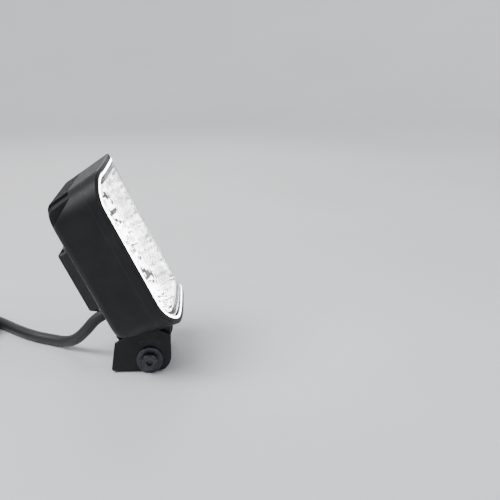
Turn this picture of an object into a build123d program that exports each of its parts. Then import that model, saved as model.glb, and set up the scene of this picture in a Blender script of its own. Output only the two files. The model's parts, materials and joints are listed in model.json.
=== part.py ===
"""Square LED fog light on a tilting U bracket, with its cable and plug.

The row frame has +Z up and its origin at the centre of the bracket's mounting hole, on the
face that the bracket stands on. The lamp shines towards -Y and tilts about the X axis.

Everything that tilts is drawn in the head frame: X across, Y up the lens, Z out of the lens,
with its origin at the middle of the lens's outer face. save() puts it in its place.
"""

import os
from math import cos, pi, radians, sin, tan

from build123d import *

# --- bracket ---------------------------------------------------------------------------
BRACKET_WIDTH = 62.0
PLATE = 2.5
BEND_RADIUS = 4.0
MOUNT_HOLE_RADIUS = 4.25
EAR_FRONT = -23.0
EAR_REAR_LOW = 16.4
EAR_REAR_HIGH = 13.5
FRONT_FOOT_RADIUS = 11.0
REAR_FOOT_RADIUS = 3.0
EAR_TOP_RADIUS = 21.0
# the ear's top arc runs this many degrees forward and back of straight up
EAR_TOP_FRONT = 40.0
EAR_TOP_REAR = 30.0

# --- tilt pivot -------------------------------------------------------------------------
PIVOT_Y = -9.0
PIVOT_Z = 9.0
TILT = 26.6
BOLT_RADIUS = 3.0
BOLT_GAP = 0.06
BOLT_HEAD_RADIUS = 5.4
BOLT_HEAD_HEIGHT = 3.3
BOLT_SOCKET = 4.0
WASHER_RADIUS = 8.8
WASHER_THICK = 1.6
SPRING_WASHER_THICK = 1.4
SPRING_WASHER_SPLIT = 0.8
WASHER_CHAMFER = 0.25
BOLT_HEAD_CHAMFER = 0.8
FACE_GAP = 0.08

# --- head shell -------------------------------------------------------------------------
HEAD_WIDTH = 112.6
HEAD_HEIGHT = 111.2
HEAD_CORNER = 21.5
DRAFT = 8.0
CROWN_DROP = 6.74
CROWN_POWER = 4.24
RING_WIDTH = 105.3
RING_HEIGHT = 103.8
RING_CORNER = 18.2
RING_THICK = 1.4
SEAM_Z = -14.5
BACK_Z = -41.5
REAR_ROUND = 6.0
PIVOT_UP = -70.4
PIVOT_DEPTH = -33.0

# --- cavity, board, reflectors ----------------------------------------------------------
CAVITY_WIDTH = 95.0
CAVITY_HEIGHT = 93.5
CAVITY_CORNER = 14.0
CAVITY_FLOOR = -26.5
PAD_THICK = 0.5
BOARD_THICK = 1.6
BOARD_WIDTH = 86.0
BOARD_HEIGHT = 82.0
BOWL_WIDTH = 96.0
BOWL_HEIGHT = 45.5
BOWL_CORNER = 13.5
BOWL_FRONT = -9.0
BOWL_PITCH = 46.5

# --- fins and driver compartment --------------------------------------------------------
FIN_PITCH = 8.0
FIN_SLOTS = 11
SLOT_WIDTH = 5.4
SLOT_FLOOR = -31.0
BLOCK_WIDTH = 64.0
BLOCK_HEIGHT = 54.0
BLOCK_Y = -4.0
BLOCK_CORNER = 8.0
BLOCK_DEPTH = 10.5
BLOCK_TAPER = 30.0
COVER_GASKET = 0.8
DRIVER_FLOOR = -31.0
GLAND_Y = -36.9

# --- cable ------------------------------------------------------------------------------
CABLE_RADIUS = 3.9
COIL_CENTRE = (50.0, 160.0)
COIL_INNER = 34.0
COIL_OUTER = 49.8
COIL_BOTTOM = 0.9
COIL_HEIGHT = 15.5
TURN_RADIUS = 45.8
CABLE_GAP = 0.1
CABLE_STRAIGHT = 7.5
CABLE_ROUTE = [
    (2.5, 35.0, 19.0),
    (9.5, 43.0, 9.6),
    (17.5, 51.5, 4.9),
    (25.5, 62.5, 4.0),
    (34.0, 76.5, 4.0),
    (47.5, 90.5, 4.0),
    (65.5, 105.5, 4.0),
    (79.5, 120.0, 4.0),
]
# the cable's end climbs onto the coil: angle about the coil's centre, radius, height
CABLE_TAIL = [
    (100, 45.8, 12.5),
    (118, 45.8, 14.0),
    (136, 45.4, 17.2),
    (154, 44.4, 20.8),
    (172, 43.2, 23.6),
    (190, 42.6, 23.6),
]

# --- connector on the cable's end --------------------------------------------------------
PLUG_LENGTH = 30.0
PLUG_WIDTH = 17.0
PLUG_HEIGHT = 14.0
PLUG_WALL = 1.6
PLUG_COLLAR = 6.0
WIRE_SEAL_RADIUS = 4.9
WIRE_SEAL_DEPTH = 4.0
FACE_SEAL_WALL = 1.7
FACE_SEAL_HEIGHT = 3.0
WEDGE_HEIGHT = 8.0
PIN_SINK = 4.0
# width, height and length of the latch on the plug's back
LATCH = (5.0, 1.2, 12.0)

# --- small features ----------------------------------------------------------------------
TICK_RADIUS = 12.6
TICKS = 11
TICK_START = 60.0
TICK_SPREAD = 75.0
TICK_LENGTH = 2.0
TICK_WIDTH = 0.5
TICK_DEPTH = 0.3
LUG_INNER = 21.0
LUG_OUTER = 27.7
LUG_END_RADIUS = 5.8
FRICTION_RADIUS = 4.9
LUG_FRONT = -14.0
LUG_REAR = 21.5
LUG_LOW = 14.5
LUG_TOP = 24.6
SPRING_WASHER_RADIUS = 5.2
BOLT_SOCKET_DEPTH = 2.2
UNDERSIDE_BACK = -42.6
SLOT_OUT = 60.0
SLOT_FRONT = -24.0
SLOT_LOW = -34.0
SLOPE_TOP = (48.8, -23.4)
SLOPE = 0.653
SLOPE_INNER = 45.2
STEP_DEPTH = 1.7
STEP_INSET = 0.45
BAY_CORNER = 3.0
SHELF_Z = -19.0
BOARD_CORNER = 6.0
BOARD_ROOM = 1.0
BOARD_TOP = CAVITY_FLOOR + PAD_THICK + BOARD_THICK
BEZEL_ROUND = 1.2
BEZEL_GAP = 0.2
FLANGE_WIDTH = 106.9
FLANGE_HEIGHT = 105.4
FLANGE_TOP = -11.2
FLANGE_BOTTOM = -13.0
LENS_THICK = 2.5
LENS_SKIRT = 1.0
MASK_WIDTH = 99.6
MASK_HEIGHT = 98.1
MASK_CORNER = 15.3
MASK_THICK = 1.3
MASK_DROP = 2.9
MASK_WINDOW = 92.4
BOWL_WALL = 1.4
BOWL_TAPER = 36.0
BOWL_DROP = 3.4
LED_PITCH = 14.0
LED_SIZE = 3.6
LED_BODY = 0.6
LED_DIE = 0.3
RING_LED_PITCH = 12.0
RING_LED_SIZE = (0.8, 1.6)
RING_LED_INSET = 1.0
SCREW_RADIUS = 1.5
SCREW_HEAD_RADIUS = 2.6
SCREW_HEAD_HEIGHT = 1.9
SCREW_HEAD_ROUND = 0.6
SCREW_BITE = 7.0
SCREW_ROOM = 0.2
SCREW_HEAD_ROOM = 0.3
SCREW_CROSS = (3.0, 0.7)
SCREW_CROSS_DEPTH = 1.1
BOARD_SCREW_GRID = (79.6, 36.4)
BOARD_SCREW_BITE = 3.0
COVER_SCREW_GRID = (56.0, 46.0)
COVER_SCREW_LAND = 2.2
COVER_SCREW_LENGTH = 8.0
COVER_ROUND = 1.2
COVER_RIM = 7.0
COVER_WINDOW_CORNER = 4.0
COVER_WALL = 2.2
BAY_WIDTH = 54.0
BAY_HEIGHT = 44.0
BAY_BOSS_RADIUS = 4.4
DRIVER_BOARD = (50.0, 34.0)
DRIVER_SCREW_GRID = (44.0, 28.0)
POST_RADIUS = 2.4
POST_HEIGHT = 2.0
WIRE_HOLE_RADIUS = 3.0
VENT_PLACE = (14.0, 4.0)
VENT_RADIUS = 4.2
VENT_STEM_RADIUS = 2.2
VENT_STEM = 2.2
VENT_THICK = 1.0
VENT_SINK = 0.2
VENT_LIP = 0.4
GLAND_THREAD_RADIUS = 5.3
GLAND_HOLE_DEPTH = 8.0
PASSAGE_HEIGHT = 4.5
GLAND_NECK = 4.0
GLAND_HEX = 3.2
GLAND_NUT = 5.3
GLAND_ACROSS = 11.0
GLAND_CHAMFER = 0.5
GLAND_NUT_LESS = 0.6
SEAL_RADIUS = 4.6
NUT_LIP = 2.0
SHEATH_PROUD = 0.2
CORE_RISE = 1.6
CORE_BEND = 1.2
CORE_RADIUS = 0.9
CORE_PITCH = 2.6
WIRE_RADIUS = 0.8
WIRE_REACH = 5.0
TERMINAL_Y = -18.4
TERMINAL_SIZE = (6.4, 3.6)
PASSAGE_END = -10.0
DRIVER_SCREW_RADIUS = 1.0
DRIVER_SCREW_HEAD = 1.4
DRIVER_PART_ROUND = 0.4
# label, places on the board, diameter or sides, height
DRIVER_PARTS = [
    ("driver_inductor", [(13, -9)], (12,), 7.0),
    ("driver_capacitors", [(-14, -12), (-14, 4)], (8,), 9.0),
    ("driver_transistors", [(0, -12), (12, 7)], (6.4, 6), 2.3),
    ("driver_chips", [(-10, -18), (3.5, 9)], (5, 4), 1.3),
    ("wire_terminal", [(0, TERMINAL_Y)], TERMINAL_SIZE, 3.4),
]
COIL_ENTRY = -30.0
TIE_WIDTH = 8.0
TIE_THICK = 0.6
TIE_GAP = 0.25
TIE_BUCKLE = (10.0, 6.0, 2.0)
TIE_ANGLE = 20.0
PLUG_POCKET = 16.0
PIN_PITCH = 5.0
PIN_RADIUS = 1.0

DRAFT_SLOPE = tan(radians(DRAFT))


def tilted(up, out):
    """Row-frame y and z of a point of the head, up the lens and out of it."""
    lean = radians(TILT)
    y = PIVOT_Y - (out - PIVOT_DEPTH) * cos(lean) + (up - PIVOT_UP) * sin(lean)
    z = PIVOT_Z + (out - PIVOT_DEPTH) * sin(lean) + (up - PIVOT_UP) * cos(lean)
    return y, z


LENS_Y, LENS_Z = tilted(0, 0)
HEAD_PLANE = Plane(
    origin=(0, LENS_Y, LENS_Z),
    x_dir=(1, 0, 0),
    z_dir=(0, -cos(radians(TILT)), sin(radians(TILT))),
)
HEAD = HEAD_PLANE.location


def save(part, label, place=None):
    """Writes a piece in the row frame: place is where its own frame stands."""
    placed = part.moved(place) if place else part
    placed.label = label
    export_step(placed, f"parts/{label}.step")


def half_size(full, z):
    """Half of the head's width or height at depth z, where the shell drafts inwards."""
    return full / 2 + z * DRAFT_SLOPE


def crown(x, lower=0.0):
    """Height of the crowned front at x: flat in the middle and wrapped back at the sides."""
    return -lower - CROWN_DROP * (abs(x) / (RING_WIDTH / 2)) ** CROWN_POWER


def crown_blank(lower, floor):
    """Everything between the crowned front, set back by lower, and floor."""
    reach = HEAD_WIDTH / 2 + 2
    steps = 6
    points = [(reach * i / steps, crown(reach * i / steps, lower)) for i in range(-steps, steps + 1)]
    with BuildPart() as blank:
        with BuildSketch(Plane.XZ):
            with BuildLine():
                Spline(*points)
                Polyline(points[-1], (reach, floor), (-reach, floor), points[0])
            make_face()
        extrude(amount=HEAD_HEIGHT, both=True)
    return blank.part


def frame_ring(label, outer, inner, radius, bottom, top):
    """A flat rounded frame between two depths: outer and inner are (width, height)."""
    with BuildPart() as ring:
        with BuildSketch(Plane.XY.offset(bottom)):
            RectangleRounded(*outer, radius)
            wall = (outer[0] - inner[0]) / 2
            RectangleRounded(*inner, radius - wall, mode=Mode.SUBTRACT)
        extrude(amount=top - bottom)
    save(ring.part, label, HEAD)


# --- bracket and pivot --------------------------------------------------------------------
def make_bracket():
    half = BRACKET_WIDTH / 2
    rim = radians(EAR_TOP_FRONT)
    lean = radians(EAR_TOP_REAR)
    top_front = (PIVOT_Y - EAR_TOP_RADIUS * sin(rim), PIVOT_Z + EAR_TOP_RADIUS * cos(rim))
    top_rear = (PIVOT_Y + EAR_TOP_RADIUS * sin(lean), PIVOT_Z + EAR_TOP_RADIUS * cos(lean))
    shoulder = top_rear[1] - (EAR_REAR_HIGH - top_rear[0]) * tan(lean)
    with BuildPart() as bracket:
        with BuildSketch(Plane.YZ):
            with BuildLine():
                Polyline(
                    top_rear,
                    (EAR_REAR_HIGH, shoulder),
                    (EAR_REAR_LOW, 0),
                    (EAR_FRONT, 0),
                    (EAR_FRONT, top_front[1] - 0.4),
                    top_front,
                )
                ThreePointArc(top_front, (PIVOT_Y, PIVOT_Z + EAR_TOP_RADIUS), top_rear)
            make_face()
        extrude(amount=half, both=True)
        front_foot = bracket.edges().filter_by(Axis.X).group_by(Axis.Z)[0].sort_by(Axis.Y)[0]
        fillet(front_foot, FRONT_FOOT_RADIUS)
        rear_foot = bracket.edges().filter_by(Axis.X).group_by(Axis.Z)[0].sort_by(Axis.Y)[-1]
        fillet(rear_foot, REAR_FOOT_RADIUS)
        with BuildSketch(Plane.XZ):
            for inset, mode in ((0, Mode.ADD), (PLATE, Mode.SUBTRACT)):
                reach = half - inset
                with BuildLine():
                    FilletPolyline(
                        (-reach, HEAD_WIDTH),
                        (-reach, inset),
                        (reach, inset),
                        (reach, HEAD_WIDTH),
                        radius=BEND_RADIUS - inset,
                    )
                    Line((reach, HEAD_WIDTH), (-reach, HEAD_WIDTH))
                make_face(mode=mode)
        extrude(amount=HEAD_WIDTH, both=True, mode=Mode.INTERSECT)
        with BuildSketch():
            Circle(MOUNT_HOLE_RADIUS)
        extrude(amount=PLATE, mode=Mode.SUBTRACT)
        with BuildSketch(Plane.YZ):
            with Locations((PIVOT_Y, PIVOT_Z)):
                Circle(BOLT_RADIUS + BOLT_GAP)
        extrude(amount=half, both=True, mode=Mode.SUBTRACT)
        for side in (-1, 1):
            with BuildSketch(Plane.YZ.offset(side * half)):
                with Locations((PIVOT_Y, PIVOT_Z)):
                    with PolarLocations(TICK_RADIUS, TICKS, start_angle=TICK_START, angular_range=TICK_SPREAD):
                        Rectangle(TICK_LENGTH, TICK_WIDTH)
            extrude(amount=-side * TICK_DEPTH, mode=Mode.SUBTRACT)
    save(bracket.part, "bracket")


def pivot_discs(radius, bore, start, thick):
    """A pair of washers on the tilt axis, their inner faces at +start and -start."""
    with BuildPart() as discs:
        for side in (-1, 1):
            with BuildSketch(Plane.YZ.offset(side * start)):
                with Locations((PIVOT_Y, PIVOT_Z)):
                    Circle(radius)
                    Circle(bore, mode=Mode.SUBTRACT)
            extrude(amount=side * thick)
    return discs.part


def make_pivot():
    ear_face = BRACKET_WIDTH / 2
    washer_start = ear_face + FACE_GAP
    spring_start = washer_start + WASHER_THICK
    head_start = spring_start + SPRING_WASHER_THICK
    head_end = head_start + BOLT_HEAD_HEIGHT
    inner_room = ear_face - PLATE - FACE_GAP - LUG_OUTER
    save(pivot_discs(FRICTION_RADIUS, BOLT_RADIUS, LUG_OUTER, inner_room), "friction_washers")
    discs = pivot_discs(WASHER_RADIUS, BOLT_RADIUS, washer_start, WASHER_THICK)
    with BuildPart() as washers:
        add(discs)
        chamfer(washers.edges().filter_by(GeomType.CIRCLE).group_by(SortBy.RADIUS)[-1], WASHER_CHAMFER)
    save(washers.part, "pivot_washers")
    discs = pivot_discs(SPRING_WASHER_RADIUS, BOLT_RADIUS, spring_start, SPRING_WASHER_THICK)
    with BuildPart() as springs:
        add(discs)
        with BuildSketch(Plane.YZ):
            with Locations((PIVOT_Y, PIVOT_Z + SPRING_WASHER_RADIUS)):
                Rectangle(SPRING_WASHER_SPLIT, 2 * (SPRING_WASHER_RADIUS - BOLT_RADIUS) + 1)
        extrude(amount=HEAD_WIDTH, both=True, mode=Mode.SUBTRACT)
    save(springs.part, "spring_washers")
    discs = pivot_discs(BOLT_HEAD_RADIUS, BOLT_RADIUS - 1, head_start, BOLT_HEAD_HEIGHT)
    with BuildPart() as bolts:
        add(discs)
        outer = bolts.edges().filter_by(GeomType.CIRCLE).group_by(SortBy.RADIUS)[-1]
        chamfer(outer.sort_by(lambda edge: abs(edge.center().X))[-2:], BOLT_HEAD_CHAMFER)
        for side in (-1, 1):
            with BuildSketch(Plane.YZ.offset(side * LUG_INNER)):
                with Locations((PIVOT_Y, PIVOT_Z)):
                    Circle(BOLT_RADIUS)
            extrude(amount=side * (head_end - LUG_INNER))
            with BuildSketch(Plane.YZ.offset(side * head_end)):
                with Locations((PIVOT_Y, PIVOT_Z)):
                    RegularPolygon(BOLT_SOCKET / 2, 6, major_radius=False)
            extrude(amount=-side * BOLT_SOCKET_DEPTH, mode=Mode.SUBTRACT)
    save(bolts.part, "pivot_bolts")


# --- head shell ---------------------------------------------------------------------------
def shell_outline(z):
    """The head's rounded outline at depth z, where the walls draft inwards."""
    RectangleRounded(
        2 * half_size(HEAD_WIDTH, z), 2 * half_size(HEAD_HEIGHT, z), HEAD_CORNER + z * DRAFT_SLOPE
    )


def slope(z):
    """Height of the sloped floor behind the head's top edge, at depth z."""
    return SLOPE_TOP[0] + (z - SLOPE_TOP[1]) * SLOPE


def fin_slots():
    """What is cut away between the fins: over the block the slots stop above it."""
    far_back = 2 * BACK_Z - SLOT_FLOOR
    with BuildPart() as slots:
        for i in range(FIN_SLOTS):
            x = (i - (FIN_SLOTS - 1) / 2) * FIN_PITCH
            over_block = abs(x) < (BLOCK_WIDTH + SLOT_WIDTH) / 2
            low = BLOCK_Y + BLOCK_HEIGHT / 2 + 4 if over_block else SLOT_LOW
            with BuildSketch(Plane.YZ.offset(x - SLOT_WIDTH / 2)):
                with BuildLine():
                    Polyline(
                        (SLOT_OUT, SLOT_FRONT),
                        (slope(SLOT_FRONT), SLOT_FRONT),
                        (slope(SLOT_FLOOR), SLOT_FLOOR),
                        (low, SLOT_FLOOR),
                        (low - 4, far_back),
                        (SLOT_OUT, far_back),
                        close=True,
                    )
                make_face()
            extrude(amount=SLOT_WIDTH)
        for side in (-1, 1):
            with BuildSketch(Plane.YZ.offset(side * SLOPE_INNER)):
                with BuildLine():
                    Polyline(
                        (SLOT_OUT, SLOT_FRONT),
                        (slope(SLOT_FRONT), SLOT_FRONT),
                        (slope(far_back), far_back),
                        (SLOT_OUT, far_back),
                        close=True,
                    )
                make_face()
            extrude(amount=side * HEAD_WIDTH)
    return slots.part


def make_housing():
    lean = radians(TILT)
    half_seam = half_size(HEAD_HEIGHT, SEAM_Z)
    slots = fin_slots()
    with BuildPart() as housing:
        with BuildSketch(Plane.XY.offset(SEAM_Z)):
            shell_outline(SEAM_Z)
        extrude(amount=SEAM_Z - BACK_Z, dir=(0, 0, -1), taper=DRAFT)
        with BuildSketch(Plane.YZ):
            with BuildLine():
                Polyline(
                    (-half_seam, SEAM_Z),
                    (UNDERSIDE_BACK, BACK_Z - 1),
                    (-HEAD_HEIGHT, BACK_Z - 1),
                    (-HEAD_HEIGHT, SEAM_Z),
                    close=True,
                )
            make_face()
        extrude(amount=HEAD_WIDTH, both=True, mode=Mode.SUBTRACT)
        fillet(housing.faces().sort_by(Axis.Z)[0].edges(), REAR_ROUND)
        add(slots, mode=Mode.SUBTRACT)
        # cavity for the optics, with a step for the ring board
        with BuildSketch(Plane.XY.offset(SEAM_Z)):
            step = 2 * STEP_INSET
            RectangleRounded(RING_WIDTH - step, RING_HEIGHT - step, RING_CORNER - STEP_INSET)
        extrude(amount=-STEP_DEPTH, mode=Mode.SUBTRACT)
        with BuildSketch(Plane.XY.offset(SEAM_Z)):
            RectangleRounded(CAVITY_WIDTH, CAVITY_HEIGHT, CAVITY_CORNER)
        extrude(amount=SHELF_Z - SEAM_Z, mode=Mode.SUBTRACT)
        with BuildSketch(Plane.XY.offset(SHELF_Z)):
            room = 2 * BOARD_ROOM
            RectangleRounded(BOARD_WIDTH + room, BOARD_HEIGHT + room, BOARD_CORNER + BOARD_ROOM)
        extrude(amount=CAVITY_FLOOR - SHELF_Z, mode=Mode.SUBTRACT)
        # driver compartment, with room left for the cover's screws at its corners
        with BuildSketch(Plane.XY.offset(BACK_Z)):
            driver_bay()
        extrude(amount=DRIVER_FLOOR - BACK_Z, mode=Mode.SUBTRACT)
        with BuildSketch(Plane.XY.offset(BACK_Z)):
            with Locations((0, BLOCK_Y)):
                with GridLocations(*COVER_SCREW_GRID, 2, 2):
                    Circle(SCREW_RADIUS)
        extrude(amount=SCREW_BITE, mode=Mode.SUBTRACT)
        with BuildSketch(Plane.XY.offset(DRIVER_FLOOR)):
            with Locations((0, BLOCK_Y)):
                with GridLocations(*DRIVER_SCREW_GRID, 2, 2):
                    Circle(POST_RADIUS)
        extrude(amount=-POST_HEIGHT)
        with BuildSketch(Plane.XY.offset(DRIVER_FLOOR - POST_HEIGHT)):
            with Locations((0, BLOCK_Y)):
                with GridLocations(*DRIVER_SCREW_GRID, 2, 2):
                    Circle(DRIVER_SCREW_RADIUS)
        extrude(amount=POST_HEIGHT, mode=Mode.SUBTRACT)
        with BuildSketch(Plane.XY.offset(DRIVER_FLOOR)):
            Circle(WIRE_HOLE_RADIUS)
        extrude(amount=CAVITY_FLOOR - DRIVER_FLOOR, mode=Mode.SUBTRACT)
        with BuildSketch(Plane.XY.offset(CAVITY_FLOOR)):
            with GridLocations(*BOARD_SCREW_GRID, 2, 3):
                Circle(SCREW_RADIUS)
        extrude(amount=-BOARD_SCREW_BITE, mode=Mode.SUBTRACT)
        # gland hole and the passage from it into the driver compartment
        with BuildSketch(Plane.XY.offset(BACK_Z)):
            with Locations((0, GLAND_Y)):
                Circle(GLAND_THREAD_RADIUS)
        extrude(amount=GLAND_HOLE_DEPTH, mode=Mode.SUBTRACT)
        with BuildSketch(Plane.XY.offset(BACK_Z + GLAND_HOLE_DEPTH)):
            with Locations((0, (GLAND_Y + PASSAGE_END) / 2)):
                Rectangle(2 * CABLE_RADIUS, PASSAGE_END - GLAND_Y + 2 * CORE_PITCH)
        extrude(amount=-PASSAGE_HEIGHT, mode=Mode.SUBTRACT)
        # lugs that hang from the underside and take the pivot bolts
        for side in (-1, 1):
            lug_plane = Plane(
                origin=(side * LUG_INNER, PIVOT_UP, PIVOT_DEPTH),
                x_dir=(0, sin(lean), -cos(lean)),
                z_dir=(1, 0, 0),
            )
            with BuildSketch(lug_plane):
                Circle(LUG_END_RADIUS)
                with Locations(((LUG_FRONT + LUG_REAR) / 2, (LUG_LOW + LUG_TOP) / 2)):
                    Rectangle(LUG_REAR - LUG_FRONT, LUG_TOP - LUG_LOW)
                make_hull()
            extrude(amount=side * (LUG_OUTER - LUG_INNER))
            with BuildSketch(lug_plane):
                Circle(BOLT_RADIUS)
            extrude(amount=side * (LUG_OUTER - LUG_INNER), mode=Mode.SUBTRACT)
        # the lugs' front corners pass under the bezel, clear of it
        with BuildSketch(Plane.XY.offset(SEAM_Z)):
            RectangleRounded(
                2 * half_size(HEAD_WIDTH, SEAM_Z) + BEZEL_GAP,
                2 * half_size(HEAD_HEIGHT, SEAM_Z) + BEZEL_GAP,
                HEAD_CORNER + SEAM_Z * DRAFT_SLOPE,
            )
        extrude(amount=-SEAM_Z, taper=-DRAFT, mode=Mode.SUBTRACT)
    save(housing.part, "housing", HEAD)


def make_bezel():
    blank = crown_blank(0, SEAM_Z)
    with BuildPart() as bezel:
        with BuildSketch():
            shell_outline(0)
        extrude(amount=-SEAM_Z, dir=(0, 0, -1), taper=DRAFT)
        add(blank, mode=Mode.INTERSECT)
        fillet(bezel.faces().sort_by(Axis.Z)[-1].edges(), BEZEL_ROUND)
        with BuildSketch():
            RectangleRounded(RING_WIDTH + 0.2, RING_HEIGHT + 0.2, RING_CORNER + 0.1)
        extrude(amount=SEAM_Z, mode=Mode.SUBTRACT)
        with BuildSketch(Plane.XY.offset(SEAM_Z)):
            RectangleRounded(FLANGE_WIDTH + 0.2, FLANGE_HEIGHT + 0.2, RING_CORNER + 0.9)
        extrude(amount=FLANGE_TOP - SEAM_Z, mode=Mode.SUBTRACT)
    save(bezel.part, "front_bezel", HEAD)


def make_light_ring():
    blank = crown_blank(0, FLANGE_BOTTOM)
    with BuildPart() as ring:
        with BuildSketch():
            RectangleRounded(RING_WIDTH, RING_HEIGHT, RING_CORNER)
        extrude(amount=FLANGE_BOTTOM)
        add(blank, mode=Mode.INTERSECT)
        with BuildSketch(Plane.XY.offset(FLANGE_BOTTOM)):
            RectangleRounded(FLANGE_WIDTH, FLANGE_HEIGHT, RING_CORNER + 0.8)
        extrude(amount=FLANGE_TOP - FLANGE_BOTTOM)
        with BuildSketch():
            walls = 2 * RING_THICK
            RectangleRounded(RING_WIDTH - walls, RING_HEIGHT - walls, RING_CORNER - RING_THICK)
        extrude(amount=FLANGE_BOTTOM, mode=Mode.SUBTRACT)
    save(ring.part, "light_ring", HEAD)


def make_lens():
    inset = RING_THICK + 0.1
    inner = inset + LENS_SKIRT
    outer_blank = crown_blank(0, FLANGE_BOTTOM)
    inner_blank = crown_blank(LENS_THICK, FLANGE_BOTTOM - 1)
    with BuildPart() as hollow:
        with BuildSketch():
            RectangleRounded(RING_WIDTH - 2 * inner, RING_HEIGHT - 2 * inner, RING_CORNER - inner)
        extrude(amount=FLANGE_BOTTOM - 1)
        add(inner_blank, mode=Mode.INTERSECT)
    with BuildPart() as lens:
        with BuildSketch():
            RectangleRounded(RING_WIDTH - 2 * inset, RING_HEIGHT - 2 * inset, RING_CORNER - inset)
        extrude(amount=FLANGE_BOTTOM)
        add(outer_blank, mode=Mode.INTERSECT)
        add(hollow.part, mode=Mode.SUBTRACT)
    save(lens.part, "lens", HEAD)


def make_mask():
    """A wall round both bowls, with a dark strip above and below them that follows the lens."""
    under_lens = crown_blank(MASK_DROP, CAVITY_FLOOR)
    with BuildPart() as strips:
        with BuildSketch(Plane.XY.offset(BOWL_FRONT)):
            RectangleRounded(MASK_WIDTH, MASK_HEIGHT, MASK_CORNER)
            Rectangle(MASK_WIDTH, MASK_WINDOW, mode=Mode.SUBTRACT)
        extrude(amount=-BOWL_FRONT)
        add(under_lens, mode=Mode.INTERSECT)
    with BuildPart() as mask:
        with BuildSketch(Plane.XY.offset(SEAM_Z - STEP_DEPTH)):
            RectangleRounded(MASK_WIDTH, MASK_HEIGHT, MASK_CORNER)
            wall = MASK_THICK
            RectangleRounded(
                MASK_WIDTH - 2 * wall, MASK_HEIGHT - 2 * wall, MASK_CORNER - wall, mode=Mode.SUBTRACT
            )
        extrude(amount=BOWL_FRONT - SEAM_Z + STEP_DEPTH)
        add(strips.part)
    save(mask.part, "mask", HEAD)


def make_optics():
    gap = 0.2
    under_lens = crown_blank(BOWL_DROP, BOARD_TOP)
    frame_ring(
        "lens_gasket",
        (FLANGE_WIDTH, FLANGE_HEIGHT),
        (FLANGE_WIDTH - 2.3, FLANGE_HEIGHT - 2.3),
        RING_CORNER + 0.8,
        SEAM_Z,
        FLANGE_BOTTOM,
    )
    frame_ring(
        "ring_board",
        (RING_WIDTH - 1.4, RING_HEIGHT - 1.4),
        (MASK_WIDTH + gap * 2, MASK_HEIGHT + gap * 2),
        RING_CORNER - 0.7,
        SEAM_Z - STEP_DEPTH,
        SEAM_Z - gap,
    )
    with BuildPart() as ring_leds:
        with BuildSketch(Plane.XY.offset(SEAM_Z - gap)):
            with GridLocations(RING_WIDTH - 2 * RING_LED_INSET, RING_LED_PITCH, 2, 6):
                Rectangle(*RING_LED_SIZE)
            with GridLocations(RING_LED_PITCH, RING_HEIGHT - 2 * RING_LED_INSET, 6, 2):
                Rectangle(*reversed(RING_LED_SIZE))
        extrude(amount=LED_BODY)
    save(ring_leds.part, "ring_leds", HEAD)
    for label, side in (("reflector_upper", 1), ("reflector_lower", -1)):
        centre = (0, side * BOWL_PITCH / 2)
        with BuildPart() as reflector:
            for inset, mode in ((0, Mode.ADD), (BOWL_WALL, Mode.SUBTRACT)):
                for amount, taper in ((BOWL_FRONT - BOARD_TOP, BOWL_TAPER), (BOWL_FRONT, 0)):
                    with BuildSketch(Plane.XY.offset(BOWL_FRONT)):
                        with Locations(centre):
                            RectangleRounded(
                                BOWL_WIDTH - 2 * inset, BOWL_HEIGHT - 2 * inset, BOWL_CORNER - inset
                            )
                    extrude(amount=abs(amount), dir=(0, 0, 1 if taper == 0 else -1), taper=taper, mode=mode)
            add(under_lens, mode=Mode.INTERSECT)
        save(reflector.part, label, HEAD)
    with BuildPart() as leds:
        with BuildSketch(Plane.XY.offset(BOARD_TOP)):
            with GridLocations(LED_PITCH, BOWL_PITCH, 4, 2):
                Rectangle(LED_SIZE, LED_SIZE)
        extrude(amount=LED_BODY)
        with BuildSketch(Plane.XY.offset(BOARD_TOP + LED_BODY)):
            with GridLocations(LED_PITCH, BOWL_PITCH, 4, 2):
                Rectangle(LED_SIZE - 1, LED_SIZE - 1)
        extrude(amount=LED_DIE)
    save(leds.part, "main_leds", HEAD)


def plate_with_holes(label, bottom, thick, centre_hole):
    """The LED board or the pad under it: same outline, same screw holes."""
    with BuildPart() as plate:
        with BuildSketch(Plane.XY.offset(bottom)):
            RectangleRounded(BOARD_WIDTH, BOARD_HEIGHT, BOARD_CORNER)
            with GridLocations(*BOARD_SCREW_GRID, 2, 3):
                Circle(SCREW_RADIUS + SCREW_ROOM, mode=Mode.SUBTRACT)
            Circle(centre_hole, mode=Mode.SUBTRACT)
        extrude(amount=thick)
    save(plate.part, label, HEAD)


def make_screws(label, grid, counts, centre, seat, length, out):
    """Pan-head screws on a grid. seat is the depth of the head's seat, out is +1 or -1."""
    with BuildPart() as screws:
        with BuildSketch(Plane.XY.offset(seat)):
            with Locations(centre):
                with GridLocations(*grid, *counts):
                    Circle(SCREW_HEAD_RADIUS)
        extrude(amount=out * SCREW_HEAD_HEIGHT)
        rims = screws.edges().filter_by(GeomType.CIRCLE).group_by(Axis.Z)
        fillet(rims[-1] if out > 0 else rims[0], SCREW_HEAD_ROUND)
        with BuildSketch(Plane.XY.offset(seat)):
            with Locations(centre):
                with GridLocations(*grid, *counts):
                    Circle(SCREW_RADIUS)
        extrude(amount=-out * length)
        with BuildSketch(Plane.XY.offset(seat + out * SCREW_HEAD_HEIGHT)):
            with Locations(centre):
                with GridLocations(*grid, *counts):
                    Rectangle(*SCREW_CROSS)
                    Rectangle(*reversed(SCREW_CROSS))
        extrude(amount=-out * SCREW_CROSS_DEPTH, mode=Mode.SUBTRACT)
    save(screws.part, label, HEAD)


# --- driver compartment -------------------------------------------------------------------
def driver_bay():
    """Outline of the driver compartment, notched at its corners; for use in a sketch."""
    with Locations((0, BLOCK_Y)):
        RectangleRounded(BAY_WIDTH, BAY_HEIGHT, BAY_CORNER)
        with GridLocations(*COVER_SCREW_GRID, 2, 2):
            Circle(BAY_BOSS_RADIUS, mode=Mode.SUBTRACT)


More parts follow.
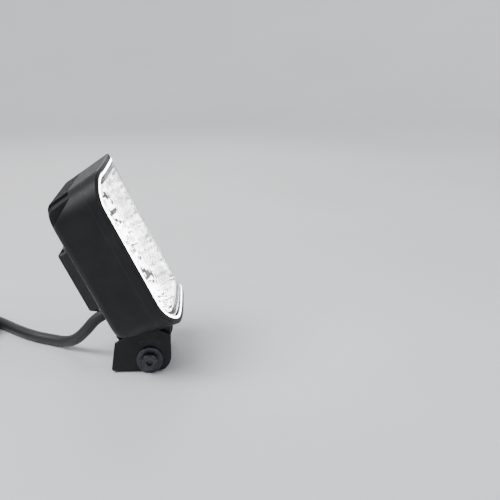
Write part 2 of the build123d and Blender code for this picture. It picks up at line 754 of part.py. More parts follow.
def cover_window(mode):
    """Outline of the hollow under the cover; for use in a sketch."""
    rims = 2 * COVER_RIM
    with Locations((0, BLOCK_Y)):
        RectangleRounded(BLOCK_WIDTH - rims, BLOCK_HEIGHT - rims, COVER_WINDOW_CORNER, mode=mode)


def make_cover():
    seat = BACK_Z - COVER_GASKET
    with BuildPart() as cover:
        with BuildSketch(Plane.XY.offset(seat)):
            with Locations((0, BLOCK_Y)):
                RectangleRounded(BLOCK_WIDTH, BLOCK_HEIGHT, BLOCK_CORNER)
        extrude(amount=BLOCK_DEPTH, dir=(0, 0, -1), taper=BLOCK_TAPER)
        fillet(cover.faces().sort_by(Axis.Z)[0].edges(), COVER_ROUND)
        with BuildSketch(Plane.XY.offset(seat)):
            cover_window(Mode.ADD)
        extrude(amount=BLOCK_DEPTH - COVER_WALL, dir=(0, 0, -1), taper=BLOCK_TAPER / 2, mode=Mode.SUBTRACT)
        with BuildSketch(Plane.XY.offset(seat - BLOCK_DEPTH)):
            with Locations((0, BLOCK_Y)):
                with GridLocations(*COVER_SCREW_GRID, 2, 2):
                    Circle(SCREW_HEAD_RADIUS + SCREW_HEAD_ROOM)
        extrude(amount=BLOCK_DEPTH - COVER_SCREW_LAND, mode=Mode.SUBTRACT)
        with BuildSketch(Plane.XY.offset(seat)):
            with Locations((0, BLOCK_Y)):
                with GridLocations(*COVER_SCREW_GRID, 2, 2):
                    Circle(SCREW_RADIUS + SCREW_ROOM)
        extrude(amount=-BLOCK_DEPTH, mode=Mode.SUBTRACT)
        with BuildSketch(Plane.XY.offset(seat - BLOCK_DEPTH)):
            with Locations(VENT_PLACE):
                Circle(VENT_RADIUS + VENT_LIP)
        extrude(amount=VENT_SINK + VENT_THICK, mode=Mode.SUBTRACT)
        with BuildSketch(Plane.XY.offset(seat - BLOCK_DEPTH)):
            with Locations(VENT_PLACE):
                Circle(VENT_STEM_RADIUS)
        extrude(amount=BLOCK_DEPTH, mode=Mode.SUBTRACT)
    save(cover.part, "driver_cover", HEAD)
    with BuildPart() as gasket:
        with BuildSketch(Plane.XY.offset(seat)):
            with Locations((0, BLOCK_Y)):
                RectangleRounded(BLOCK_WIDTH - 1, BLOCK_HEIGHT - 1, BLOCK_CORNER - 0.5)
            cover_window(Mode.SUBTRACT)
            with Locations((0, BLOCK_Y)):
                with GridLocations(*COVER_SCREW_GRID, 2, 2):
                    Circle(SCREW_RADIUS + SCREW_ROOM, mode=Mode.SUBTRACT)
        extrude(amount=COVER_GASKET)
    save(gasket.part, "cover_gasket", HEAD)
    with BuildPart() as vent:
        with BuildSketch(Plane.XY.offset(seat - BLOCK_DEPTH + VENT_SINK)):
            with Locations(VENT_PLACE):
                Circle(VENT_RADIUS)
        extrude(amount=VENT_THICK)
        with BuildSketch(Plane.XY.offset(seat - BLOCK_DEPTH + VENT_SINK + VENT_THICK)):
            with Locations(VENT_PLACE):
                Circle(VENT_STEM_RADIUS)
        extrude(amount=VENT_STEM)
    save(vent.part, "breather_vent", HEAD)


def stack(label, places, size, height, bottom):
    """Driver parts that stand on the board, one solid at each place, towards the back."""
    with BuildPart() as pieces:
        with BuildSketch(Plane.XY.offset(bottom)):
            with Locations(*places):
                if len(size) == 1:
                    Circle(size[0] / 2)
                else:
                    Rectangle(*size)
        extrude(amount=-height)
        fillet(pieces.edges().group_by(Axis.Z)[0], DRIVER_PART_ROUND)
    save(pieces.part, label, HEAD)


def make_driver():
    top = DRIVER_FLOOR - POST_HEIGHT
    back = top - BOARD_THICK
    with BuildPart() as board:
        with BuildSketch(Plane.XY.offset(back)):
            with Locations((0, BLOCK_Y)):
                RectangleRounded(*DRIVER_BOARD, 2)
                with GridLocations(*DRIVER_SCREW_GRID, 2, 2):
                    Circle(DRIVER_SCREW_RADIUS + 0.1, mode=Mode.SUBTRACT)
            Circle(WIRE_HOLE_RADIUS, mode=Mode.SUBTRACT)
        extrude(amount=BOARD_THICK)
    save(board.part, "driver_board", HEAD)
    for label, places, size, height in DRIVER_PARTS:
        stack(label, places, size, height, back)
    with BuildPart() as screws:
        with BuildSketch(Plane.XY.offset(back)):
            with Locations((0, BLOCK_Y)):
                with GridLocations(*DRIVER_SCREW_GRID, 2, 2):
                    Circle(2 * DRIVER_SCREW_RADIUS)
        extrude(amount=-DRIVER_SCREW_HEAD)
        with BuildSketch(Plane.XY.offset(back)):
            with Locations((0, BLOCK_Y)):
                with GridLocations(*DRIVER_SCREW_GRID, 2, 2):
                    Circle(DRIVER_SCREW_RADIUS)
        extrude(amount=BOARD_THICK + POST_HEIGHT - SCREW_HEAD_ROOM)
    save(screws.part, "driver_screws", HEAD)
    with BuildPart() as wires:
        with BuildSketch(Plane.XY.offset(back - 1)):
            with GridLocations(CORE_PITCH, 0, 2, 1):
                Circle(WIRE_RADIUS)
        extrude(amount=BOARD_TOP + 2 - back)
        for side in (-1, 1):
            with BuildSketch(Plane.YZ.offset(side * CORE_PITCH / 2)):
                with Locations((0, BOARD_TOP + 1.2)):
                    Circle(WIRE_RADIUS)
            extrude(amount=side * WIRE_REACH)
    save(wires.part, "board_wires", HEAD)


def hexagon(label, height, bottom, across, bore, thread=None):
    """A gland piece: a hexagon with a bore and, under it, an optional threaded neck."""
    with BuildPart() as piece:
        with BuildSketch(Plane.XY.offset(bottom)):
            with Locations((0, GLAND_Y)):
                RegularPolygon(across / 2, 6, major_radius=False)
        extrude(amount=-height)
        chamfer(piece.edges().group_by(Axis.Z)[0], GLAND_CHAMFER)
        if thread:
            with BuildSketch(Plane.XY.offset(bottom)):
                with Locations((0, GLAND_Y)):
                    Circle(thread[0])
            extrude(amount=thread[1])
        for radius, start, depth in bore:
            with BuildSketch(Plane.XY.offset(start)):
                with Locations((0, GLAND_Y)):
                    Circle(radius)
            extrude(amount=-depth, mode=Mode.SUBTRACT)
    save(piece.part, label, HEAD)


def make_gland():
    nut_start = BACK_Z - GLAND_HEX
    nut_end = nut_start - GLAND_NUT
    neck_end = BACK_Z + GLAND_NECK
    hexagon(
        "gland_body",
        GLAND_HEX,
        BACK_Z,
        GLAND_ACROSS,
        [(SEAL_RADIUS, neck_end, GLAND_HEX + GLAND_NECK)],
        (GLAND_THREAD_RADIUS, GLAND_NECK),
    )
    hexagon(
        "gland_nut",
        GLAND_NUT,
        nut_start,
        GLAND_ACROSS - GLAND_NUT_LESS,
        [(SEAL_RADIUS, nut_start, GLAND_NUT - NUT_LIP), (CABLE_RADIUS + CABLE_GAP, nut_start, GLAND_NUT)],
    )
    with BuildPart() as seal:
        with BuildSketch(Plane.XY.offset(nut_end + NUT_LIP)):
            with Locations((0, GLAND_Y)):
                Circle(SEAL_RADIUS)
                Circle(CABLE_RADIUS, mode=Mode.SUBTRACT)
        extrude(amount=neck_end - nut_end - NUT_LIP - 1)
    save(seal.part, "gland_seal", HEAD)
    with BuildPart() as sheath:
        with BuildSketch(Plane.XY.offset(nut_end)):
            with Locations((0, GLAND_Y)):
                Circle(CABLE_RADIUS)
        extrude(amount=neck_end + SHEATH_PROUD - nut_end)
    save(sheath.part, "cable_inlet_sheath", HEAD)
    start = neck_end + SHEATH_PROUD
    with BuildPart() as cores:
        for side in (-1, 1):
            x = side * CORE_PITCH / 2
            with BuildLine():
                route = FilletPolyline(
                    (x, GLAND_Y, start),
                    (x, GLAND_Y, start + CORE_RISE),
                    (x, TERMINAL_Y - TERMINAL_SIZE[1] / 2, start + CORE_RISE),
                    radius=CORE_BEND,
                )
            with BuildSketch(Plane(origin=route @ 0, z_dir=route % 0)):
                Circle(CORE_RADIUS)
            sweep(path=route)
    save(cores.part, "cable_cores", HEAD)
    return nut_end


# --- cable and connector ------------------------------------------------------------------
def bend_radii(points):
    """The largest easy arc at each corner of a route: 0.45 of the shorter run beside it."""
    radii = []
    corners = [Vector(*p) for p in points]
    for before, here, after in zip(corners, corners[1:], corners[2:]):
        turn = (here - before).get_angle(after - here)
        shorter = min((here - before).length, (after - here).length)
        radii.append(0.45 * shorter / tan(radians(turn / 2)))
    return radii


def tube(label, points):
    """A length of cable through the points, straight runs joined by arcs."""
    radii = bend_radii(points)
    with BuildPart() as piece:
        with BuildLine():
            route = FilletPolyline(*points, radius=radii)
        with BuildSketch(Plane(origin=route @ 0, z_dir=route % 0)):
            Circle(CABLE_RADIUS)
        sweep(path=route)
    save(piece.part, label)
    section = pi * CABLE_RADIUS**2
    print(label, "radii", [round(r, 1) for r in radii], "length", round(route.length, 1))
    print(label, "volume over section times length", round(piece.part.volume / section / route.length, 4))


def on_coil(angle, radius, z):
    """A point over the coil at an angle in degrees about its centre."""
    a = radians(angle)
    return (COIL_CENTRE[0] + radius * cos(a), COIL_CENTRE[1] + radius * sin(a), z)


def make_cable(nut_end):
    start = (0, *tilted(GLAND_Y, nut_end - CABLE_GAP))
    straight = (0, *tilted(GLAND_Y, nut_end - CABLE_GAP - CABLE_STRAIGHT))
    tube("cable", [start, straight, *CABLE_ROUTE, on_coil(COIL_ENTRY, TURN_RADIUS, CABLE_ROUTE[-1][2])])
    with BuildPart() as coil:
        with BuildSketch(Plane.XZ):
            with Locations(((COIL_INNER + COIL_OUTER) / 2, COIL_BOTTOM + COIL_HEIGHT / 2)):
                RectangleRounded(COIL_OUTER - COIL_INNER, COIL_HEIGHT, CABLE_RADIUS)
        revolve(axis=Axis.Z)
    save(coil.part, "cable_coil", Location((*COIL_CENTRE, 0)))
    tail = [on_coil(*point) for point in CABLE_TAIL]
    tube("cable_tail", tail)
    make_tie()
    along = Vector(*tail[-1]) - Vector(*tail[-2])
    return Plane(origin=tail[-1], x_dir=(-along.Y, along.X, 0), z_dir=(along.X, along.Y, 0)).location


def make_tie():
    """A strap round the coil's bundle of turns, with its buckle on the outside."""
    width = COIL_OUTER - COIL_INNER + 2 * TIE_GAP
    height = COIL_HEIGHT + 2 * TIE_GAP
    centre = ((COIL_INNER + COIL_OUTER) / 2, COIL_BOTTOM + COIL_HEIGHT / 2)
    with BuildPart() as tie:
        with BuildSketch(Plane.XZ.offset(-TIE_WIDTH / 2)):
            with Locations(centre):
                RectangleRounded(width + 2 * TIE_THICK, height + 2 * TIE_THICK, CABLE_RADIUS + TIE_THICK)
                RectangleRounded(width, height, CABLE_RADIUS, mode=Mode.SUBTRACT)
        extrude(amount=TIE_WIDTH)
        with BuildSketch(Plane.YZ.offset(COIL_OUTER + TIE_GAP + TIE_THICK)):
            with Locations((0, centre[1])):
                RectangleRounded(*TIE_BUCKLE[:2], 1)
        extrude(amount=TIE_BUCKLE[2])
    save(tie.part, "coil_tie", Location((*COIL_CENTRE, 0), (0, 0, TIE_ANGLE)))


def plug_inside(wall):
    """The plug's pocket, less a wall inside it; for use in a sketch."""
    less = 2 * (PLUG_WALL + wall)
    RectangleRounded(PLUG_WIDTH - less, PLUG_HEIGHT - less, 2 - wall / 2)


def pin_holes(mode=Mode.ADD):
    with GridLocations(PIN_PITCH, 0, 2, 1):
        Circle(PIN_RADIUS, mode=mode)


def make_connector(place):
    """A sealed two-way plug: Z runs out of its mouth, and the cable enters at z = 0."""
    pocket_floor = PLUG_LENGTH - PLUG_POCKET
    with BuildPart() as body:
        with BuildSketch():
            RectangleRounded(PLUG_WIDTH - 3, PLUG_HEIGHT - 2, 4)
        extrude(amount=PLUG_COLLAR)
        with BuildSketch(Plane.XY.offset(PLUG_COLLAR)):
            RectangleRounded(PLUG_WIDTH, PLUG_HEIGHT, 3)
        extrude(amount=PLUG_LENGTH - PLUG_COLLAR)
        with BuildSketch(Plane.XY.offset(PLUG_LENGTH)):
            plug_inside(0)
        extrude(amount=-PLUG_POCKET, mode=Mode.SUBTRACT)
        with BuildSketch():
            Circle(WIRE_SEAL_RADIUS)
        extrude(amount=WIRE_SEAL_DEPTH, mode=Mode.SUBTRACT)
        with BuildSketch(Plane.XY.offset(WIRE_SEAL_DEPTH)):
            pin_holes()
        extrude(amount=PLUG_LENGTH, mode=Mode.SUBTRACT)
        with BuildSketch(Plane.XY.offset(PLUG_COLLAR + 2)):
            with Locations((0, (PLUG_HEIGHT + LATCH[1]) / 2)):
                Rectangle(LATCH[0], LATCH[1])
        extrude(amount=LATCH[2])
    save(body.part, "connector_body", place)
    with BuildPart() as seal:
        with BuildSketch():
            Circle(WIRE_SEAL_RADIUS)
        extrude(amount=WIRE_SEAL_DEPTH)
    save(seal.part, "connector_wire_seal", place)
    with BuildPart() as wedge:
        with BuildSketch(Plane.XY.offset(pocket_floor)):
            plug_inside(FACE_SEAL_WALL)
            pin_holes(Mode.SUBTRACT)
        extrude(amount=WEDGE_HEIGHT)
    save(wedge.part, "connector_wedge", place)
    with BuildPart() as ring:
        with BuildSketch(Plane.XY.offset(pocket_floor)):
            with BuildSketch(mode=Mode.PRIVATE) as inside:
                plug_inside(FACE_SEAL_WALL)
            plug_inside(0)
            add(inside.sketch, mode=Mode.SUBTRACT)
        extrude(amount=FACE_SEAL_HEIGHT)
    save(ring.part, "connector_face_seal", place)
    with BuildPart() as pins:
        with BuildSketch(Plane.XY.offset(WIRE_SEAL_DEPTH)):
            pin_holes()
        extrude(amount=PLUG_LENGTH - WIRE_SEAL_DEPTH - PIN_SINK)
    save(pins.part, "connector_pins", place)


def main():
    os.makedirs("parts", exist_ok=True)
    make_bracket()
    make_pivot()
    make_housing()
    make_bezel()
    make_light_ring()
    make_lens()
    make_mask()
    make_optics()
    plate_with_holes("thermal_pad", CAVITY_FLOOR, PAD_THICK, WIRE_HOLE_RADIUS)
    plate_with_holes("led_board", CAVITY_FLOOR + PAD_THICK, BOARD_THICK, WIRE_HOLE_RADIUS)
    board_screw_length = BOARD_SCREW_BITE + BOARD_THICK
    make_screws("board_screws", BOARD_SCREW_GRID, (2, 3), (0, 0), BOARD_TOP, board_screw_length, 1)
    make_cover()
    cover_seat = BACK_Z - COVER_GASKET - COVER_SCREW_LAND
    make_screws("cover_screws", COVER_SCREW_GRID, (2, 2), (0, BLOCK_Y), cover_seat, COVER_SCREW_LENGTH, -1)
    make_driver()
    nut_end = make_gland()
    plug_place = make_cable(nut_end)
    make_connector(plug_place)


main()
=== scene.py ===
"""Square LED fog light, lit, standing on its U bracket with its cable coiled behind it.

Everything is in metres in the CAD's own frame: +Z up, the lamp shines towards -Y and tilts
about X. Pieces of the head are drawn in the head frame (X across, Y up the lens, Z out of it).
"""

import json
import random
from math import cos, exp, pi, radians, sin

import bmesh
import bpy
from mathutils import Matrix, Vector


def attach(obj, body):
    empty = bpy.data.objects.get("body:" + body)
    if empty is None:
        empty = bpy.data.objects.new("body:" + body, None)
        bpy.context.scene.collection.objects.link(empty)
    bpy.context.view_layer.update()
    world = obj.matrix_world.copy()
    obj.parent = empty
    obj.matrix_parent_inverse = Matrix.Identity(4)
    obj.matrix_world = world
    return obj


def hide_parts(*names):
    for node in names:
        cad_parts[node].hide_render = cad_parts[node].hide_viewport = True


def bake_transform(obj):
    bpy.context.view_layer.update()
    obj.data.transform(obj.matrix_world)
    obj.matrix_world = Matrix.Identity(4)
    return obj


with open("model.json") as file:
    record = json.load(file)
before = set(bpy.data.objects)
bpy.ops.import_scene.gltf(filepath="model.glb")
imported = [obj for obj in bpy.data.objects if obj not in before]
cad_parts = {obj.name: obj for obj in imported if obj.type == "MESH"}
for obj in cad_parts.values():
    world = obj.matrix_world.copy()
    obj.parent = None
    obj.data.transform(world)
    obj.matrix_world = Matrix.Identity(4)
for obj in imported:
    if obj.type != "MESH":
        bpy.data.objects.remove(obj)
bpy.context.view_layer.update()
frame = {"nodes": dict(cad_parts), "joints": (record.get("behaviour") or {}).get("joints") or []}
NODES = frame["nodes"]
MM = 0.001

# --- camera (metres, degrees, lens and sensor in millimetres) -----------------------------
CAMERA_PLACE = (-0.58766, -0.03807, 0.22335)
CAMERA_AZIMUTH = -93.7645
CAMERA_ELEVATION = 14.2415
CAMERA_LENS = 64.8
CAMERA_SENSOR = 36
CAMERA_NEAREST = 0.01

# --- studio --------------------------------------------------------------------------------
FLOOR_DROP = 0.1 * MM
FLOOR_RADIUS = 1.5
FLOOR_SIDES = 96
SWEEP_RADIUS = 1.5
SWEEP_TURN = radians(70)
SWEEP_STEPS = 20
ROOM_TINT = (0.86, 0.87, 0.89, 1)
ROOM_LIGHT = 0.56
SUN_STRENGTH = 2.0
SUN_SOFTNESS = radians(50)
SUN_TURN = (radians(-28), radians(-22), 0)
LIGHTS_AIM = (0, 0, 0.08)
# name, place, width and height, watts, tint
SOFTBOXES = [
    ("rear_softbox", (-0.15, 0.62, 0.85), (0.5, 0.3), 6, (0.95, 0.97, 1)),
    ("front_softbox", (-0.5, -0.8, 0.9), (0.7, 0.5), 3, (1, 1, 1)),
    ("far_softbox", (0.9, 0.1, 0.7), (0.5, 0.7), 3, (1, 0.97, 0.94)),
]

# --- head frame --------------------------------------------------------------------------
TILT = 26.6
PIVOT_UP = -70.4 * MM
PIVOT_DEPTH = -33.0 * MM

# --- lens and reflector bowls (millimetres in the head frame) ---------------------------------
RING_WIDTH = 105.3
CROWN_DROP = 6.74
CROWN_POWER = 4.24
LENS_WIDTH = 102.3
LENS_HEIGHT = 100.8
LENS_CORNER = 16.7
LENS_THICK = 2.5
LENS_SKIRT = 1.0
LENS_FOOT = -13.0
LENS_SEED = 21
LENS_SHARP = radians(40)
SLIVER_EDGE = 0.02
SLIVER_AREA = 0.01
WELD = 0.05
# both the lens and the bowls are cut into pillows, each with this many faces along a side
DIVISIONS = 3
PILLOW_PITCH = (3.2, 2.4)
PILLOW_BULGE = 0.06
# painted shade: chosen lens pillows are tinted dark as unlit specks; where they gather, how often and how
# dark
SPECK_ROWS = (-43.0, 0.0, 43.0)
SPECK_SPREAD = 4.5
SPECK_END = 24.0
SPECKS_AT_ENDS = 0.75
SPECKS_ELSEWHERE = 0.3
SPECK_DEPTH = (0.6, 1.0)
BOWL_WIDTH = 93.2
BOWL_HEIGHT = 42.7
BOWL_CORNER = 12.1
BOWL_PITCH = 46.5
BOWL_DROP = 3.4
BOWL_FLOOR = -24.2
BOWL_INSET = 11.0
BOWL_CURVE = 1.6
BOWL_WALL = 1.2
BOWL_LEAST_CORNER = 1.0
BOWL_LEVELS = 10
BOWL_OUTSIDE = (0.0, 0.34, 0.67, 1.0)
FACET_BULGE = 0.35
SIDE_FACETS = (34, 8)
CORNER_FACETS = 8
# painted light and painted shade of the bowls: where facets are painted dark and unlit, and how brightly
# the other facets and the outside glow
DARK_END = 27.0
DARK_SIDE = 19.0
DARK_AT_ENDS = 0.5
DARK_COMB = 0.8
DARK_ELSEWHERE = 0.14
COMB_LEVELS = (1, 2)
DARK_FACET = (0.0, 0.02)
BRIGHT_FACET = (0.5, 1.0)
OUTSIDE_PAINTED_GLOW = 0.5
# mesh, CAD node, side of the middle, seed of its facets
BOWLS = [
    ("bowl_upper", "reflector_upper", 1, 3),
    ("bowl_lower", "reflector_lower", -1, 8),
]

# --- light given out: the LEDs and the light ring are lamps, the bowls' glow is painted light ---
BOWL_PAINTED_GLOW = 14.0
RING_LIGHT = 14.0
LED_LIGHT = 40.0

# --- cable: the route's control points, then the coil and the end that lies on it -----------
CABLE_RADIUS = 3.9 * MM
CABLE_SIDES = 20
COIL_CENTRE = (0.050, 0.160)
COIL_ENTRY = -30.0
COIL_STEP = 20.0
CABLE_ROUTE = [
    (0.0, 0.02129, 0.03130),
    (0.0, 0.02800, 0.02794),
    (0.0025, 0.0350, 0.0190),
    (0.0095, 0.0430, 0.0096),
    (0.0175, 0.0515, 0.0049),
    (0.0255, 0.0625, 0.0040),
    (0.0340, 0.0765, 0.0040),
    (0.0475, 0.0905, 0.0040),
    (0.0655, 0.1055, 0.0040),
    (0.0795, 0.1200, 0.0040),
]
# degrees turned since the coil's start, radius, height
COIL_WINDING = [
    (0, 0.0458, 0.0048),
    (300, 0.0458, 0.0048),
    (360, 0.0380, 0.0048),
    (600, 0.0380, 0.0048),
    (660, 0.0380, 0.0125),
    (900, 0.0380, 0.0125),
    (960, 0.0458, 0.0125),
    (1210, 0.0458, 0.0125),
]
# the cable's end climbs onto the coil: angle about the coil's centre, radius, height
CABLE_TAIL = [
    (100, 0.0458, 0.0125),
    (118, 0.0458, 0.0140),
    (136, 0.0454, 0.0172),
    (154, 0.0444, 0.0208),
    (172, 0.0432, 0.0236),
    (190, 0.0426, 0.0236),
]


def head_matrix():
    """From the head frame to the row frame, at rest."""
    lean = radians(TILT)
    pivot = Vector(frame["joints"][0]["pos_m"])
    turn = Matrix(((1, 0, 0), (0, sin(lean), -cos(lean)), (0, cos(lean), sin(lean))))
    origin = pivot - turn @ Vector((0, PIVOT_UP, PIVOT_DEPTH))
    return Matrix.Translation(origin) @ turn.to_4x4()


HEAD = head_matrix()


# --- camera, floor and light ---------------------------------------------------------------
def make_camera():
    azimuth = radians(CAMERA_AZIMUTH)
    elevation = radians(CAMERA_ELEVATION)
    right = Vector((cos(azimuth), sin(azimuth), 0))
    back = Vector((sin(azimuth) * cos(elevation), -cos(azimuth) * cos(elevation), sin(elevation)))
    up = back.cross(right)
    camera = bpy.data.objects.new("camera", bpy.data.cameras.new("camera"))
    camera.data.lens = CAMERA_LENS
    camera.data.sensor_width = CAMERA_SENSOR
    camera.data.clip_start = CAMERA_NEAREST
    turn = Matrix((right, up, back)).transposed().to_4x4()
    camera.matrix_world = Matrix.Translation(CAMERA_PLACE) @ turn
    bpy.context.scene.collection.objects.link(camera)
    bpy.context.scene.camera = camera


def softbox(name, place, size, watts, tint):
    light = bpy.data.objects.new(name, bpy.data.lights.new(name, "AREA"))
    light.data.shape = "RECTANGLE"
    light.data.size = size[0]
    light.data.size_y = size[1]
    light.data.energy = watts
    light.data.color = tint
    aim = Vector(LIGHTS_AIM) - Vector(place)
    turn = aim.to_track_quat("-Z", "Y").to_matrix().to_4x4()
    light.matrix_world = Matrix.Translation(place) @ turn
    bpy.context.scene.collection.objects.link(light)


def make_floor():
    """A round flat floor whose rim sweeps up, so that no horizon shows from any side."""
    corners = []
    for i in range(SWEEP_STEPS + 1):
        angle = SWEEP_TURN * i / SWEEP_STEPS
        reach = FLOOR_RADIUS + SWEEP_RADIUS * sin(angle)
        height = SWEEP_RADIUS * (1 - cos(angle))
        for k in range(FLOOR_SIDES):
            around = 2 * pi * k / FLOOR_SIDES
            corners.append((reach * cos(around), reach * sin(around), height))
    faces = [tuple(range(FLOOR_SIDES))]
    for i in range(SWEEP_STEPS):
        for k in range(FLOOR_SIDES):
            near, far = i * FLOOR_SIDES, (i + 1) * FLOOR_SIDES
            after = (k + 1) % FLOOR_SIDES
            faces.append((near + k, far + k, far + after, near + after))
    mesh = bpy.data.meshes.new("floor")
    mesh.from_pydata(corners, [], faces)
    for face in mesh.polygons[1:]:
        face.use_smooth = True
    floor = bpy.data.objects.new("floor", mesh)
    floor.location.z = -FLOOR_DROP
    bpy.context.scene.collection.objects.link(floor)
    mesh.materials.append(floor_paint())


def make_lights():
    world = bpy.data.worlds.new("studio")
    world.use_nodes = True
    background = world.node_tree.nodes["Background"]
    background.inputs["Color"].default_value = ROOM_TINT
    background.inputs["Strength"].default_value = ROOM_LIGHT
    bpy.context.scene.world = world
    sun = bpy.data.objects.new("overhead", bpy.data.lights.new("overhead", "SUN"))
    sun.data.energy = SUN_STRENGTH
    sun.data.angle = SUN_SOFTNESS
    sun.rotation_euler = SUN_TURN
    bpy.context.scene.collection.objects.link(sun)
    for row in SOFTBOXES:
        softbox(*row)


# --- materials ----------------------------------------------------------------------------
NOISE_ROUGHNESS = 0.55
BEVEL_SAMPLES = 6


class Surface:
    """A principled material with object coordinates and short ways to add its detail."""

    def __init__(self, name, metallic=0.0):
        self.material = bpy.data.materials.new(name)
        self.material.use_nodes = True
        self.tree = self.material.node_tree
        self.shader = self.tree.nodes["Principled BSDF"]
        self.shader.inputs["Metallic"].default_value = metallic
        self.normal = None
        self.place = self.node("ShaderNodeTexCoord").outputs["Object"]

    def node(self, kind, **values):
        made = self.tree.nodes.new(kind)
        for key, value in values.items():
            setattr(made, key, value)
        return made

    def link(self, source, target):
        self.tree.links.new(source, target)

    def noise(self, per_metre, detail, stretch=None):
        made = self.node("ShaderNodeTexNoise")
        made.inputs["Scale"].default_value = per_metre
        made.inputs["Detail"].default_value = detail
        made.inputs["Roughness"].default_value = NOISE_ROUGHNESS
        place = self.place
        if stretch:
            mapping = self.node("ShaderNodeMapping")
            mapping.inputs["Scale"].default_value = stretch
            self.link(place, mapping.inputs["Vector"])
            place = mapping.outputs["Vector"]
        self.link(place, made.inputs["Vector"])
        return made.outputs["Fac"]

    def ramp(self, factor, low, high, start=0.3, end=0.7):
        """Turns a factor into a colour or, with grey numbers, into a value."""
        made = self.node("ShaderNodeValToRGB")
        grey = isinstance(low, (int, float))
        made.color_ramp.elements[0].position = start
        made.color_ramp.elements[1].position = end
        made.color_ramp.elements[0].color = (low, low, low, 1) if grey else (*low, 1)
        made.color_ramp.elements[1].color = (high, high, high, 1) if grey else (*high, 1)
        self.link(factor, made.inputs["Fac"])
        return made.outputs["Color"]

    def mix(self, factor, first, second):
        """A colour that goes from first to second with factor."""
        made = self.node("ShaderNodeMix", data_type="RGBA")
        self.link(factor, made.inputs["Factor"])
        for value, target in ((first, made.inputs["A"]), (second, made.inputs["B"])):
            if isinstance(value, tuple):
                target.default_value = (*value, 1)
            else:
                self.link(value, target)
        return made.outputs["Result"]

    def edges(self, radius):
        """Rounds the shading of edges, and returns a factor that is 1 on them."""
        bevel = self.node("ShaderNodeBevel", samples=BEVEL_SAMPLES)
        bevel.inputs["Radius"].default_value = radius
        self.normal = bevel.outputs["Normal"]
        geometry = self.node("ShaderNodeNewGeometry")
        dot = self.node("ShaderNodeVectorMath", operation="DOT_PRODUCT")
        self.link(self.normal, dot.inputs[0])
        self.link(geometry.outputs["Normal"], dot.inputs[1])
        return self.ramp(dot.outputs["Value"], 1.0, 0.0, 0.86, 0.985)

    def bump(self, height, depth, strength=1.0):
        made = self.node("ShaderNodeBump")
        made.inputs["Distance"].default_value = depth
        made.inputs["Strength"].default_value = strength
        self.link(height, made.inputs["Height"])
        if self.normal:
            self.link(self.normal, made.inputs["Normal"])
        self.normal = made.outputs["Normal"]
        self.link(self.normal, self.shader.inputs["Normal"])

    def color(self, source):
        self.link(source, self.shader.inputs["Base Color"])

    def rough(self, source):
        self.link(source, self.shader.inputs["Roughness"])

    def set(self, **values):
        for key, value in values.items():
            self.shader.inputs[key.replace("_", " ")].default_value = value


def floor_paint():
    paint = Surface("floor_paint")
    paint.color(paint.ramp(paint.noise(3, 2), (0.70, 0.71, 0.73), (0.74, 0.75, 0.77)))
    paint.rough(paint.ramp(paint.noise(40, 4), 0.55, 0.7))
    return paint.material


def powder_coat(name, grain, worn):
    """Black powder coat: fine orange peel, a little dust in noise patches, thinner on the edges."""
    coat = Surface(name)
    edge = coat.edges(0.5 * MM)
    mottle = coat.ramp(coat.noise(70, 4), (0.004, 0.004, 0.0045), (0.009, 0.009, 0.010))
    dusty = coat.mix(coat.ramp(coat.noise(24, 6), 0.0, 0.25, 0.55, 0.75), mottle, (0.022, 0.022, 0.023))
    coat.color(coat.mix(coat.ramp(edge, 0.0, worn, 0.0, 1.0), dusty, (0.07, 0.07, 0.075)))
    coat.rough(coat.ramp(coat.noise(300, 3), 0.36, 0.50))
    coat.bump(coat.noise(grain, 2), 0.05 * MM, 0.7)
    coat.bump(coat.noise(grain / 5, 3), 0.06 * MM, 0.4)
    coat.set(Specular_IOR_Level=0.25)
    return coat.material


def moulded(name, low, high, roughness, grain=2600, round_edges=0.35, specular=0.5):
    """Injection-moulded plastic: fine spark-eroded texture and faint flow marks."""
    plastic = Surface(name)
    plastic.edges(round_edges * MM)
    flow = plastic.noise(40, 3, stretch=(1, 3, 1))
    plastic.color(plastic.ramp(flow, low, high))
    plastic.rough(plastic.ramp(plastic.noise(500, 3), roughness - 0.06, roughness + 0.08))
    plastic.bump(plastic.noise(grain, 2), 0.025 * MM, 0.6)
    plastic.set(Specular_IOR_Level=specular)
    return plastic.material


def plated(name, low, high, roughness):
    """Zinc-plated steel with turning marks and handling smears."""
    steel = Surface(name, metallic=1.0)
    steel.edges(0.25 * MM)
    steel.color(steel.ramp(steel.noise(260, 4), low, high))
    steel.rough(steel.ramp(steel.noise(130, 5, stretch=(1, 1, 4)), roughness - 0.1, roughness + 0.14))
    steel.bump(steel.noise(1500, 2, stretch=(8, 1, 1)), 0.02 * MM, 0.6)
    return steel.material


def rubber(name, low, high, roughness=0.62, grain=1800):
    """Matte rubber or cable sheath with a bloom of dust and fine pores."""
    skin = Surface(name)
    bloom = skin.ramp(skin.noise(55, 5), 0.0, 0.6, 0.45, 0.8)
    skin.color(skin.mix(bloom, low, high))
    skin.rough(skin.ramp(skin.noise(200, 4), roughness - 0.08, roughness + 0.1))
    skin.bump(skin.noise(grain, 3), 0.03 * MM, 0.7)
    skin.set(Sheen_Weight=0.08, Sheen_Roughness=0.5)
    return skin.material


def clear_lens():
    """Clear polycarbonate with a few faint haze marks, and painted shade: chosen pillows are tinted dark
    as unlit spots.
    """
    clear = Surface("clear_polycarbonate")
    shade = clear.node("ShaderNodeAttribute", attribute_name="painted_pillow_shade").outputs["Fac"]
    tint = clear.ramp(clear.noise(30, 2), (0.96, 0.98, 1.0), (1.0, 1.0, 1.0))
    # painted shade: shaded pillows are tinted near-black
    clear.color(clear.mix(shade, tint, (0.02, 0.02, 0.02)))
    clear.rough(clear.ramp(clear.noise(45, 5), 0.0, 0.02, 0.5, 0.85))
    clear.bump(clear.noise(22, 1), 0.05 * MM, 0.15)
    clear.set(Transmission_Weight=1.0, IOR=1.2)
    return clear.material


